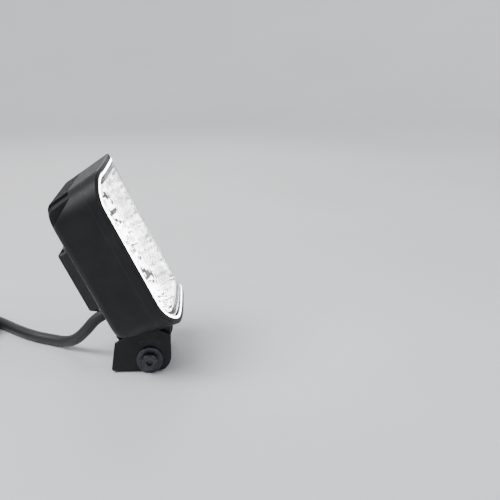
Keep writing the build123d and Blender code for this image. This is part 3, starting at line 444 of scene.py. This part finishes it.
def glowing(name, color, strength, low, high, per_metre):
    """A lit translucent plastic: brightness drifts a little along it."""
    glow = Surface(name)
    glow.color(glow.ramp(glow.noise(per_metre, 3), low, high))
    glow.rough(glow.ramp(glow.noise(400, 3), 0.22, 0.38))
    glow.link(glow.ramp(glow.noise(per_metre, 2), low, color), glow.shader.inputs["Emission Color"])
    glow.set(Emission_Strength=strength)
    glow.bump(glow.noise(900, 2), 0.02 * MM, 0.4)
    return glow.material


def reflector_painted_glow():
    """Metallised facets with painted light: they glow by emission in place of reflecting the LEDs' light.
    Most of them are bright, and some are painted dark and unlit as painted shade.
    """
    mirror = Surface("reflector_painted_glow", metallic=1.0)
    facet = mirror.node("ShaderNodeAttribute", attribute_name="painted_facet_light").outputs["Fac"]
    bright = mirror.ramp(mirror.noise(200, 2), (0.80, 0.82, 0.85), (0.92, 0.93, 0.95))
    # painted shade: dark facets get a near-black base colour
    mirror.color(mirror.mix(mirror.ramp(facet, 0.0, 1.0, 0.03, 0.5), (0.02, 0.02, 0.022), bright))
    mirror.rough(mirror.ramp(mirror.noise(600, 3), 0.08, 0.18))
    mirror.bump(mirror.noise(700, 2), 0.02 * MM, 0.3)
    # painted light: the facets glow by emission in place of reflecting the LEDs' light
    light = mirror.ramp(facet, (0.01, 0.01, 0.012), (1.0, 0.98, 0.95), 0.0, 1.0)
    mirror.link(light, mirror.shader.inputs["Emission Color"])
    mirror.set(Emission_Strength=BOWL_PAINTED_GLOW)
    return mirror.material


def circuit_board(name, low, high, trace):
    """Solder mask over copper: the tracks show as a slightly lighter, raised net."""
    board = Surface(name)
    cells = board.node("ShaderNodeTexBrick", offset=0.5, squash=1.0)
    cells.inputs["Scale"].default_value = 110
    cells.inputs["Mortar Size"].default_value = 0.06
    cells.inputs["Color1"].default_value = (1, 1, 1, 1)
    cells.inputs["Color2"].default_value = (1, 1, 1, 1)
    cells.inputs["Mortar"].default_value = (0, 0, 0, 1)
    board.link(board.place, cells.inputs["Vector"])
    mask = board.ramp(board.noise(90, 3), low, high)
    board.color(board.mix(cells.outputs["Fac"], mask, trace))
    board.rough(board.ramp(board.noise(400, 3), 0.3, 0.45))
    board.bump(cells.outputs["Color"], 0.04 * MM, 0.5)
    return board.material


def strands():
    """Twisted copper cores in coloured insulation."""
    core = Surface("core_insulation")
    wave = core.node("ShaderNodeTexWave", wave_type="BANDS", bands_direction="DIAGONAL")
    wave.inputs["Scale"].default_value = 160
    core.link(core.place, wave.inputs["Vector"])
    core.color(core.ramp(core.noise(60, 3), (0.32, 0.02, 0.015), (0.42, 0.04, 0.03)))
    core.rough(core.ramp(core.noise(300, 3), 0.35, 0.5))
    core.bump(wave.outputs["Fac"], 0.04 * MM, 0.5)
    return core.material


def dress(nodes, material):
    """Gives CAD pieces their material by filling their own slots."""
    for name in nodes:
        slots = NODES[name].material_slots
        if not slots:
            NODES[name].data.materials.append(material)
        for one in slots:
            one.material = material


def dress_frame():
    dress(["housing", "driver_cover", "front_bezel"], powder_coat("cast_shell_coat", 1500, 0.4))
    dress(["bracket"], powder_coat("bracket_coat", 2100, 0.8))
    dress(
        ["mask"],
        moulded("mask_plastic", (0.006, 0.006, 0.007), (0.011, 0.011, 0.012), 0.8, 900, specular=0.1),
    )
    dress(
        ["gland_body", "gland_nut", "breather_vent"],
        moulded("nylon", (0.012, 0.012, 0.013), (0.024, 0.024, 0.026), 0.46, 1500),
    )
    dress(["coil_tie"], moulded("tie_nylon", (0.014, 0.014, 0.015), (0.03, 0.03, 0.032), 0.4, 1200, 0.2))
    dress(["connector_body"], moulded("plug_plastic", (0.015, 0.015, 0.016), (0.028, 0.028, 0.03), 0.5))
    dress(["connector_wedge"], moulded("wedge_plastic", (0.62, 0.20, 0.03), (0.70, 0.26, 0.05), 0.42))
    dress(["friction_washers"], moulded("friction_nylon", (0.10, 0.10, 0.10), (0.16, 0.16, 0.16), 0.6))
    dress(
        ["pivot_bolts", "pivot_washers", "spring_washers"],
        plated("black_zinc", (0.035, 0.036, 0.04), (0.07, 0.07, 0.078), 0.36),
    )
    dress(["cover_screws"], plated("cover_screw_zinc", (0.05, 0.05, 0.055), (0.10, 0.10, 0.11), 0.34))
    dress(
        ["board_screws", "driver_screws"],
        plated("bright_zinc", (0.55, 0.56, 0.58), (0.72, 0.73, 0.75), 0.3),
    )
    dress(["connector_pins"], plated("tinned_brass", (0.62, 0.50, 0.24), (0.80, 0.66, 0.34), 0.26))
    dress(["driver_capacitors"], plated("capacitor_can", (0.60, 0.61, 0.63), (0.75, 0.76, 0.78), 0.3))
    dress(
        ["light_ring"],
        glowing("light_pipe", (1.0, 0.99, 0.97), RING_LIGHT, (0.86, 0.87, 0.88), (0.95, 0.95, 0.96), 90),
    )
    dress(
        ["main_leds", "ring_leds"],
        glowing("led_phosphor", (1.0, 0.97, 0.90), LED_LIGHT, (0.95, 0.82, 0.40), (1.0, 0.92, 0.60), 700),
    )
    dress(
        ["led_board", "ring_board"],
        circuit_board("white_board", (0.76, 0.77, 0.76), (0.84, 0.85, 0.84), (0.70, 0.70, 0.66)),
    )
    dress(
        ["driver_board"],
        circuit_board("green_board", (0.01, 0.09, 0.04), (0.02, 0.14, 0.06), (0.03, 0.20, 0.09)),
    )
    dress(
        ["driver_inductor", "driver_transistors", "driver_chips"],
        moulded("epoxy", (0.018, 0.018, 0.02), (0.03, 0.03, 0.032), 0.5, 1200),
    )
    dress(["wire_terminal"], moulded("terminal_nylon", (0.72, 0.71, 0.66), (0.80, 0.79, 0.74), 0.45))
    dress(
        ["lens_gasket", "cover_gasket", "gland_seal"],
        rubber("black_rubber", (0.014, 0.014, 0.014), (0.035, 0.035, 0.035)),
    )
    dress(
        ["connector_wire_seal", "connector_face_seal"],
        rubber("orange_seal", (0.60, 0.16, 0.03), (0.68, 0.24, 0.07)),
    )
    dress(["thermal_pad"], rubber("gap_filler", (0.30, 0.32, 0.35), (0.40, 0.42, 0.45)))
    dress(["cable_inlet_sheath"], sheath())
    dress(["cable_cores", "board_wires"], strands())


def sheath():
    return rubber("cable_sheath", (0.006, 0.006, 0.006), (0.018, 0.018, 0.0185), 0.5, 1500)


# --- cable --------------------------------------------------------------------------------
def on_coil(angle, radius, height):
    around = radians(angle)
    return (COIL_CENTRE[0] + radius * cos(around), COIL_CENTRE[1] + radius * sin(around), height)


def winding(turned):
    """Radius and height of the coil's cable after so many degrees of turning."""
    for before, after in zip(COIL_WINDING, COIL_WINDING[1:]):
        if before[0] <= turned <= after[0]:
            share = (turned - before[0]) / (after[0] - before[0])
            return [before[i] + share * (after[i] - before[i]) for i in (1, 2)]


def cable_line():
    """The cable's NURBS spline, read as points from the gland to the plug."""
    points = list(CABLE_ROUTE)
    # a spline runs inside its control points, so these stand that much further out
    swell = 1 / cos(radians(COIL_STEP / 2))
    turned = 0.0
    while turned < COIL_WINDING[-1][0] - COIL_STEP / 2:
        radius, height = winding(turned)
        points.append(on_coil(COIL_ENTRY + turned, radius * swell, height))
        turned += COIL_STEP
    points += [on_coil(*point) for point in CABLE_TAIL]
    curve = bpy.data.curves.new("cable_route", "CURVE")
    curve.dimensions = "3D"
    curve.resolution_u = 6
    spline = curve.splines.new("NURBS")
    spline.points.add(len(points) - 1)
    for control, place in zip(spline.points, points):
        control.co = (*place, 1)
    spline.order_u = 3
    spline.use_endpoint_u = True
    holder = bpy.data.objects.new("cable_route", curve)
    bpy.context.scene.collection.objects.link(holder)
    bpy.context.view_layer.update()
    line = bpy.data.meshes.new_from_object(holder)
    path = [vertex.co.copy() for vertex in line.vertices]
    bpy.data.objects.remove(holder)
    return path


def tube_mesh(name, path, radius, sides):
    """A round tube along a path, its rings carried along without twisting."""
    tool = bmesh.new()
    rings = []
    across = Vector((1, 0, 0))
    for i, place in enumerate(path):
        ahead = (path[min(i + 1, len(path) - 1)] - path[max(i - 1, 0)]).normalized()
        across = (across - ahead * across.dot(ahead)).normalized()
        other = ahead.cross(across)
        turns = [2 * pi * k / sides for k in range(sides)]
        rings.append([tool.verts.new(place + radius * (cos(a) * across + sin(a) * other)) for a in turns])
    for one, two in zip(rings, rings[1:]):
        for k in range(sides):
            tool.faces.new((one[k], one[(k + 1) % sides], two[(k + 1) % sides], two[k]))
    tool.faces.new(reversed(rings[0]))
    tool.faces.new(rings[-1])
    for face in tool.faces:
        face.smooth = len(face.verts) == 4
    return finished(tool, name)


def finished(tool, name):
    """Turns bmesh work into a linked object."""
    mesh = bpy.data.meshes.new(name)
    tool.to_mesh(mesh)
    tool.free()
    made = bpy.data.objects.new(name, mesh)
    bpy.context.scene.collection.objects.link(made)
    return made


def make_cable():
    path = cable_line()
    cable = tube_mesh("power_cable", path, CABLE_RADIUS, CABLE_SIDES)
    cable.data.materials.append(sheath())
    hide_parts("cable", "cable_coil", "cable_tail")
    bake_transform(cable)


# --- reflector bowls -----------------------------------------------------------------------
def rounded_loop(width, height, corner):
    """Points round a rounded rectangle, the same count for every size."""
    columns, rows = SIDE_FACETS
    loop = []
    for centre_x, centre_y, start in ((1, 1, 0), (-1, 1, 90), (-1, -1, 180), (1, -1, 270)):
        x = centre_x * (width / 2 - corner)
        y = centre_y * (height / 2 - corner)
        for i in range(CORNER_FACETS * DIVISIONS):
            angle = radians(start + 90 * i / (CORNER_FACETS * DIVISIONS))
            loop.append(Vector((x + corner * cos(angle), y + corner * sin(angle), 0)))
        side = columns if start in (0, 180) else rows
        count = side * DIVISIONS
        angle = radians(start + 90)
        first = Vector((x + corner * cos(angle), y + corner * sin(angle), 0))
        run = (width if start in (0, 180) else height) - 2 * corner
        way = Vector((cos(radians(start + 180)), sin(radians(start + 180)), 0))
        loop += [first + way * run * i / count for i in range(count)]
    return loop


def crown(x):
    """Depth of the lens's outer face at x: flat in the middle and wrapped back at the sides."""
    return -CROWN_DROP * (abs(x) / (RING_WIDTH / 2)) ** CROWN_POWER


def bowl_level(share, grow=0.0):
    """The bowl's loop at a share of its depth, 0 under the lens, and grown outwards."""
    inset = BOWL_INSET * share**BOWL_CURVE - grow
    corner = max(BOWL_CORNER - inset, BOWL_LEAST_CORNER)
    loop = rounded_loop(BOWL_WIDTH - 2 * inset, BOWL_HEIGHT - 2 * inset, corner)
    fronts = [crown(p.x) - BOWL_DROP for p in loop]
    return [Vector((p.x, p.y, front + share * (BOWL_FLOOR - front))) for p, front in zip(loop, fronts)]


def dome(i, j):
    """How far a pillow stands out at a corner of its faces, 0 on its border and 1 in its middle."""
    u = (i % DIVISIONS) / DIVISIONS
    v = (j % DIVISIONS) / DIVISIONS
    return 16 * u * (1 - u) * v * (1 - v)


def painted_facet_light(draw, cell, place):
    """Painted light per facet: most facets glow bright. The dark ones are painted shade and gather at the
    ends and in a comb along the sides.
    """
    level, column = cell
    chance = DARK_AT_ENDS if abs(place.x) > DARK_END else DARK_ELSEWHERE
    if abs(place.y) > DARK_SIDE and level in COMB_LEVELS and column % 2:
        chance = DARK_COMB
    dark = draw.random() < chance
    return draw.uniform(*DARK_FACET) if dark else draw.uniform(*BRIGHT_FACET)


def bowl_inside(tool, levels):
    """Corners of the bowl's faces, level by level, pushed inwards into pillows."""
    count = len(levels[0])
    rows = []
    for i, loop in enumerate(levels):
        row = []
        for k, place in enumerate(loop):
            down = levels[min(i + 1, len(levels) - 1)][k] - levels[max(i - 1, 0)][k]
            along = loop[(k + 1) % count] - loop[k - 1]
            inwards = along.cross(down).normalized()
            if inwards.x * place.x + inwards.y * place.y > 0:
                inwards = -inwards
            row.append(tool.verts.new(place + inwards * FACET_BULGE * dome(k, i)))
        rows.append(row)
    return rows


def band(tool, one, two, k):
    """The face between two loops of corners at place k."""
    after = (k + 1) % len(one)
    return tool.faces.new((one[k], two[k], two[after], one[after]))


def make_bowl(name, node, centre_y, seed, finish):
    """A wide bowl of pillow facets with a plain outside, open to the LEDs at its floor."""
    steps = BOWL_LEVELS * DIVISIONS
    levels = [bowl_level(i / steps) for i in range(steps + 1)]
    draw = random.Random(seed)
    tool = bmesh.new()
    light = tool.faces.layers.float.new("painted_facet_light")
    inside = bowl_inside(tool, levels)
    brightness = {}
    for i in range(steps):
        for k in range(len(levels[0])):
            face = band(tool, inside[i], inside[i + 1], k)
            face.smooth = True
            cell = (i // DIVISIONS, k // DIVISIONS)
            if cell not in brightness:
                brightness[cell] = painted_facet_light(draw, cell, levels[i][k])
            # each facet's painted glow; the dark ones are painted shade
            face[light] = brightness[cell]
    outside = [[tool.verts.new(p) for p in bowl_level(share, BOWL_WALL)] for share in BOWL_OUTSIDE]
    shells = [inside[0], *outside, inside[-1]]
    for one, two in zip(shells, shells[1:]):
        for k in range(len(one)):
            # the bowl's outside glows at half strength, painted light
            band(tool, two, one, k)[light] = OUTSIDE_PAINTED_GLOW
    for edge in tool.edges:
        edge.smooth = len({face[light] for face in edge.link_faces}) == 1
    bmesh.ops.recalc_face_normals(tool, faces=tool.faces)
    bowl = finished(tool, name)
    bowl.data.transform(HEAD @ Matrix.Scale(MM, 4) @ Matrix.Translation((0, centre_y, 0)))
    bowl.data.materials.append(finish)
    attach(bowl, "head")
    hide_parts(node)


def make_bowls():
    finish = reflector_painted_glow()
    for name, node, side, seed in BOWLS:
        make_bowl(name, node, side * BOWL_PITCH / 2, seed, finish)


# --- lens ---------------------------------------------------------------------------------
def onto_outline(x, y):
    """The point if it is on the lens, else its outline's nearest, and how far inside it is."""
    flat_x = LENS_WIDTH / 2 - LENS_CORNER
    flat_y = LENS_HEIGHT / 2 - LENS_CORNER
    core = Vector((max(-flat_x, min(flat_x, x)), max(-flat_y, min(flat_y, y))))
    out = Vector((x, y)) - core
    if out.length <= LENS_CORNER:
        return x, y, LENS_CORNER - out.length
    edge = core + out.normalized() * LENS_CORNER
    return edge.x, edge.y, 0.0


def painted_speck_chance(x, y):
    """How often a pillow gets a painted unlit spot, a dark tint: mostly along the bowls' long edges, near
    their ends.
    """
    off = min(abs(y - row) for row in SPECK_ROWS)
    return exp(-off / SPECK_SPREAD) * (SPECKS_AT_ENDS if abs(x) > SPECK_END else SPECKS_ELSEWHERE)


def lens_sheets(tool):
    """The lens's two sheets on one grid. What lies off the lens falls onto its outline."""
    cell_x, cell_y = (pitch / DIVISIONS for pitch in PILLOW_PITCH)
    columns = int(LENS_WIDTH / cell_x / 2) + 2
    rows = int(LENS_HEIGHT / cell_y / 2) + 2
    shade = tool.faces.layers.float.new("painted_pillow_shade")
    outside, inside = {}, {}
    for i in range(-columns, columns + 1):
        for j in range(-rows, rows + 1):
            x, y, depth = onto_outline(i * cell_x, j * cell_y)
            under = crown(x) - LENS_THICK + PILLOW_BULGE * dome(i, j)
            if depth < LENS_SKIRT:
                under = LENS_FOOT
            outside[i, j] = tool.verts.new((x, y, crown(x)))
            inside[i, j] = tool.verts.new((x, y, under))
    draw = random.Random(LENS_SEED)
    shades = {}
    for i in range(-columns, columns):
        for j in range(-rows, rows):
            pillow = (i // DIVISIONS, j // DIVISIONS)
            # painted shade: a chosen pillow's inner faces are tinted dark
            if pillow not in shades:
                dark = draw.random() < painted_speck_chance(i * cell_x, j * cell_y)
                shades[pillow] = draw.uniform(*SPECK_DEPTH) if dark else 0.0
            ring = [(i, j), (i + 1, j), (i + 1, j + 1), (i, j + 1)]
            tool.faces.new([outside[k] for k in ring])
            tool.faces.new([inside[k] for k in reversed(ring)])[shade] = shades[pillow]


def make_lens():
    """The crowned cover: smooth outside, a grid of pillow optics moulded inside, and a skirt."""
    tool = bmesh.new()
    lens_sheets(tool)
    # faces that fell onto the outline are slivers: they go, and the two rims are joined
    bmesh.ops.dissolve_degenerate(tool, dist=SLIVER_EDGE, edges=tool.edges)
    slivers = [face for face in tool.faces if face.calc_area() < SLIVER_AREA]
    bmesh.ops.delete(tool, geom=slivers, context="FACES_ONLY")
    bmesh.ops.remove_doubles(tool, verts=tool.verts, dist=WELD)
    rim = [edge for edge in tool.edges if len(edge.link_faces) == 1]
    bmesh.ops.bridge_loops(tool, edges=rim)
    loose = [vert for vert in tool.verts if not vert.link_faces]
    bmesh.ops.delete(tool, geom=loose, context="VERTS")
    bmesh.ops.recalc_face_normals(tool, faces=tool.faces)
    for face in tool.faces:
        face.smooth = True
    for edge in tool.edges:
        edge.smooth = len(edge.link_faces) == 2 and edge.calc_face_angle(0) < LENS_SHARP
    lens = finished(tool, "pillow_lens")
    lens.data.transform(HEAD @ Matrix.Scale(MM, 4))
    lens.data.materials.append(clear_lens())
    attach(lens, "head")
    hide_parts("lens")


make_camera()
make_cable()
make_floor()
make_lights()
dress_frame()
make_bowls()
make_lens()
